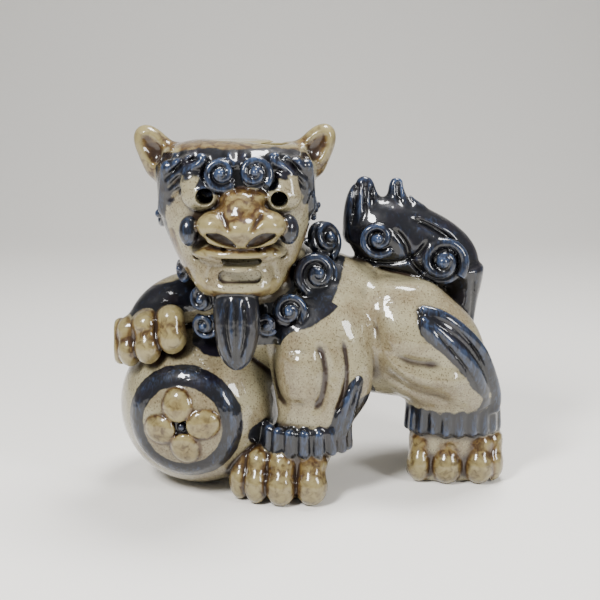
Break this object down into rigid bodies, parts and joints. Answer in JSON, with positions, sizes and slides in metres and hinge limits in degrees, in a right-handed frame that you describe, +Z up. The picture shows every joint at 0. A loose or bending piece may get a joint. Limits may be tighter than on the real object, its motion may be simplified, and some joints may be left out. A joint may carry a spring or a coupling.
{
  "type": "guardian lion statue",
  "caption": "Glazed stoneware guardian lion standing with one forepaw on a patterned ball, curled mane and upright tail.",
  "frame": {"origin": "middle of the statue's footprint, on the surface that its feet and ball rest on", "axes": "+Z up, the face and the toes look along -Y, +X runs from the ball to the rump"},
  "size_m": [0.179, 0.0984, 0.1636],
  "materials": {
    "clear_glaze": "clear gloss glaze over speckled buff stoneware",
    "blue_black_glaze": "brushed blue-black gloss glaze with lighter streaks",
    "ochre_glaze": "mottled ochre-brown gloss glaze"
  },
  "bodies": {
    "root": {"ball_petals": "ochre_glaze", "ball_ring": "blue_black_glaze", "ball_shell": "clear_glaze", "beard": "blue_black_glaze", "body_shell": "clear_glaze", "head_shell": "clear_glaze", "left_brow_curl": "blue_black_glaze", "left_brow_locks": "blue_black_glaze", "left_ear": "ochre_glaze", "left_elbow_flame": "blue_black_glaze", "left_eyeball": "clear_glaze", "left_fore_cuff": "blue_black_glaze", "left_foreleg": "clear_glaze", "left_forepaw_toes": "ochre_glaze", "left_hind_cuff": "blue_black_glaze", "left_hind_leg": "clear_glaze", "left_hind_toes": "ochre_glaze", "left_moustache_knob": "blue_black_glaze", "left_rump_flames": "blue_black_glaze", "lower_jaw": "clear_glaze", "mane_curl_back_left": "blue_black_glaze", "mane_curl_back_right": "blue_black_glaze", "mane_curl_ball": "blue_black_glaze", "mane_curl_cheek": "blue_black_glaze", "mane_curl_cheek_right": "blue_black_glaze", "mane_curl_collar": "blue_black_glaze", "mane_curl_crown_back": "blue_black_glaze", "mane_curl_ear_left": "blue_black_glaze", "mane_curl_nape": "blue_black_glaze", "mane_curl_nape_left": "blue_black_glaze", "mane_curl_neck_left": "blue_black_glaze", "mane_curl_neck_right": "blue_black_glaze", "mane_curl_paw": "blue_black_glaze", "mane_curl_shoulder": "blue_black_glaze", "mane_curl_temple_right": "blue_black_glaze", "mane_curl_throat": "blue_black_glaze", "nose": "ochre_glaze", "right_brow_curl": "blue_black_glaze", "right_brow_locks": "blue_black_glaze", "right_ear": "ochre_glaze", "right_eyeball": "clear_glaze", "right_foreleg": "clear_glaze", "right_forepaw_toes": "ochre_glaze", "right_hind_cuff": "blue_black_glaze", "right_hind_leg": "clear_glaze", "right_hind_toes": "ochre_glaze", "right_moustache_knob": "blue_black_glaze", "right_rump_flames": "blue_black_glaze", "tail_curl_front_left": "blue_black_glaze", "tail_curl_front_right": "blue_black_glaze", "tail_curl_rear_left": "blue_black_glaze", "tail_curl_rear_right": "blue_black_glaze", "tail_front_flame": "blue_black_glaze", "tail_plume": "blue_black_glaze", "tail_rear_flame": "blue_black_glaze", "tail_stem": "blue_black_glaze", "tongue": "clear_glaze", "upper_lip": "clear_glaze"}
  },
  "joints": []
}
